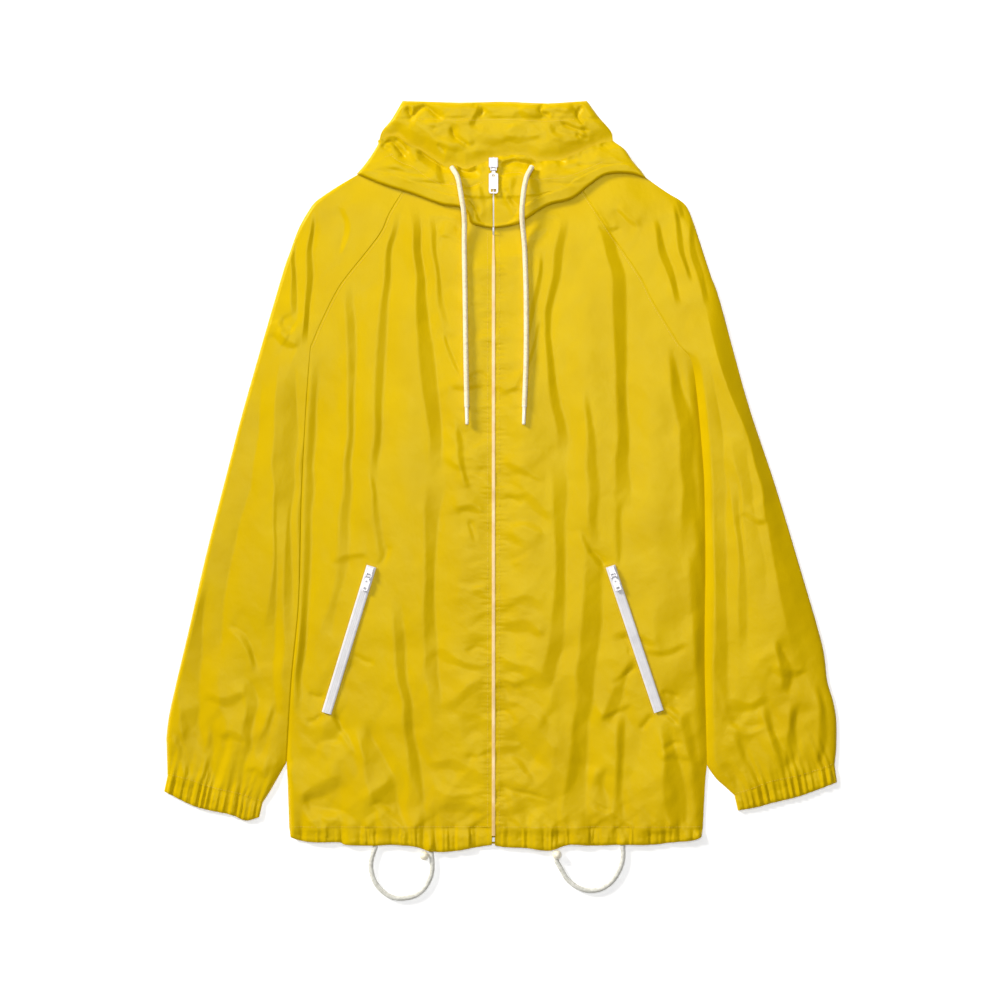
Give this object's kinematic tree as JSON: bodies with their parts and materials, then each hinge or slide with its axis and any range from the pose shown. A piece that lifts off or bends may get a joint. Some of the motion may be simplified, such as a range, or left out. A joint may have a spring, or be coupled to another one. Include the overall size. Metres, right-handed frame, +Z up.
{
  "type": "rain jacket",
  "caption": "Hooded raglan rain jacket of thin nylon with a full front zip, slanted zip pockets, elastic cuffs and drawcords, laid flat on its back.",
  "frame": {"origin": "on the back panel's underside, below the front zip and half way down the jacket", "axes": "+X towards the wearer's left, +Y towards the hood, +Z up from the surface that the jacket lies on"},
  "size_m": [0.8072, 0.9592, 0.022],
  "materials": {
    "shell_cloth": "thin crinkled nylon taffeta with a soft sheen",
    "zip_tape": "woven zip tape and coil",
    "zip_hardware": "white lacquer over die-cast metal",
    "cord": "round braid",
    "cord_fittings": "smooth moulded plastic"
  },
  "bodies": {
    "jacket": {"back_panel": "shell_cloth", "front_left": "shell_cloth", "front_right": "shell_cloth", "sleeve_front_left": "shell_cloth", "sleeve_front_right": "shell_cloth", "sleeve_back_left": "shell_cloth", "sleeve_back_right": "shell_cloth", "cuff_front_left": "shell_cloth", "cuff_front_right": "shell_cloth", "cuff_back_left": "shell_cloth", "cuff_back_right": "shell_cloth", "hem_front_left": "shell_cloth", "hem_front_right": "shell_cloth", "hem_back": "shell_cloth", "hood_back": "shell_cloth", "hood_left": "shell_cloth", "hood_right": "shell_cloth", "zip_front": "zip_tape", "pocket_left_zip": "zip_tape", "pocket_right_zip": "zip_tape", "zip_slider": "zip_hardware", "zip_stop": "zip_hardware", "pocket_left_slider": "zip_hardware", "pocket_right_slider": "zip_hardware", "hood_cord_left": "cord", "hood_cord_right": "cord", "hem_loop_left": "cord", "hem_loop_right": "cord", "cord_tip_left": "cord_fittings", "cord_tip_right": "cord_fittings", "hem_bead_left": "cord_fittings", "hem_bead_right": "cord_fittings"},
    "front_zip_pull": {"zip_pull": "zip_hardware"},
    "pocket_left_zip_pull": {"pocket_left_pull": "zip_hardware"},
    "pocket_right_zip_pull": {"pocket_right_pull": "zip_hardware"}
  },
  "joints": [
    {"name": "front_pull_swing", "type": "hinge", "parent": "jacket", "child": "front_zip_pull", "pos_m": [0, 0.3665, 0.01111], "axis": [-1, 0, 0], "range_deg": [0, 150]},
    {"name": "pocket_left_pull_swing", "type": "hinge", "parent": "jacket", "child": "pocket_left_zip_pull", "pos_m": [0.14395, -0.11986, 0.01094], "axis": [-0.9487, -0.3162, 0], "range_deg": [0, 150]},
    {"name": "pocket_right_pull_swing", "type": "hinge", "parent": "jacket", "child": "pocket_right_zip_pull", "pos_m": [-0.14967, -0.11995, 0.01119], "axis": [-0.956, 0.2933, 0], "range_deg": [0, 150]}
  ]
}
